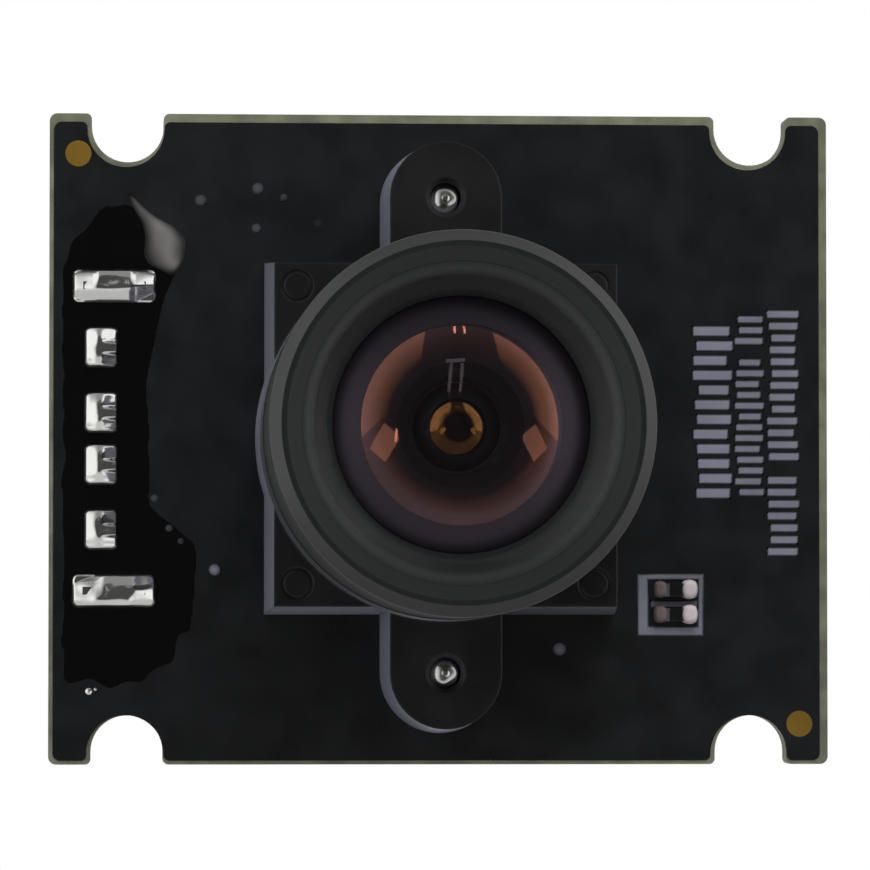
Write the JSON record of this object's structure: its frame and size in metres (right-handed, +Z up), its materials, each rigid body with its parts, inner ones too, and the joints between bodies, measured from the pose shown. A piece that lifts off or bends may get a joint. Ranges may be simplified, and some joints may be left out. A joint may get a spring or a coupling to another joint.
{
  "type": "camera module",
  "caption": "Board camera: black circuit board with edge notches, a screwed-on moulded holder, a wide black lens head in front and an upright serial-bus plug behind.",
  "frame": {"origin": "centre of the four edge notches, on the circuit board's rear face", "axes": "+Z up along the board's height, -Y out of the lens, +Y along the plug behind the board, X across the board's width"},
  "size_m": [0.03, 0.0347, 0.025],
  "materials": {
    "circuit_board": "sawn glass-fibre laminate",
    "front_solder_mask": "black satin solder mask",
    "rear_solder_mask": "black satin solder mask",
    "fiducials": "bare copper under clear flux",
    "lens_holder": "black moulded nylon",
    "holder_screw_upper": "bright nickel plate",
    "holder_screw_lower": "bright nickel plate",
    "lens_barrel": "black anodised, fine turned",
    "front_retaining_ring": "black anodised, fine turned",
    "front_glass": "coated optical glass",
    "front_spacer": "matt black",
    "second_glass": "coated optical glass",
    "aperture_stop": "blackened shim",
    "third_glass": "coated optical glass",
    "rear_spacer": "matt black",
    "rear_glass": "coated optical glass",
    "infrared_filter": "infrared-cut glass",
    "image_sensor": "silicon die",
    "sensor_cover_glass": "clear cover glass",
    "sensor_solder_balls": "solder",
    "plug_shell": "nickel-plated sheet steel",
    "plug_insulator": "white moulded plastic",
    "plug_contacts": "gold flash on brass",
    "pin_solder": "bright solder",
    "tab_solder": "bright solder",
    "joint_varnish": "glossy black varnish",
    "front_resistors": "black glaze",
    "front_resistor_ends": "tinned",
    "controller_chip": "black moulding compound",
    "controller_leads": "tinned leads",
    "memory_chip": "black moulding compound",
    "memory_leads": "tinned leads",
    "crystal_can": "seam-welded metal can",
    "core_regulator": "black moulding compound",
    "sensor_regulator": "black moulding compound",
    "regulator_leads": "tinned leads",
    "rear_capacitors": "fired ceramic",
    "rear_capacitor_ends": "tinned",
    "rear_resistors": "black glaze",
    "rear_resistor_ends": "tinned"
  },
  "bodies": {
    "root": {"circuit_board": "circuit_board", "front_solder_mask": "front_solder_mask", "rear_solder_mask": "rear_solder_mask", "fiducials": "fiducials", "lens_holder": "lens_holder", "holder_screw_upper": "holder_screw_upper", "holder_screw_lower": "holder_screw_lower", "lens_barrel": "lens_barrel", "front_retaining_ring": "front_retaining_ring", "front_glass": "front_glass", "front_spacer": "front_spacer", "second_glass": "second_glass", "aperture_stop": "aperture_stop", "third_glass": "third_glass", "rear_spacer": "rear_spacer", "rear_glass": "rear_glass", "infrared_filter": "infrared_filter", "image_sensor": "image_sensor", "sensor_cover_glass": "sensor_cover_glass", "sensor_solder_balls": "sensor_solder_balls", "plug_shell": "plug_shell", "plug_insulator": "plug_insulator", "plug_contacts": "plug_contacts", "pin_solder": "pin_solder", "tab_solder": "tab_solder", "joint_varnish": "joint_varnish", "front_resistors": "front_resistors", "front_resistor_ends": "front_resistor_ends", "controller_chip": "controller_chip", "controller_leads": "controller_leads", "memory_chip": "memory_chip", "memory_leads": "memory_leads", "crystal_can": "crystal_can", "core_regulator": "core_regulator", "sensor_regulator": "sensor_regulator", "regulator_leads": "regulator_leads", "rear_capacitors": "rear_capacitors", "rear_capacitor_ends": "rear_capacitor_ends", "rear_resistors": "rear_resistors", "rear_resistor_ends": "rear_resistor_ends"}
  },
  "joints": []
}
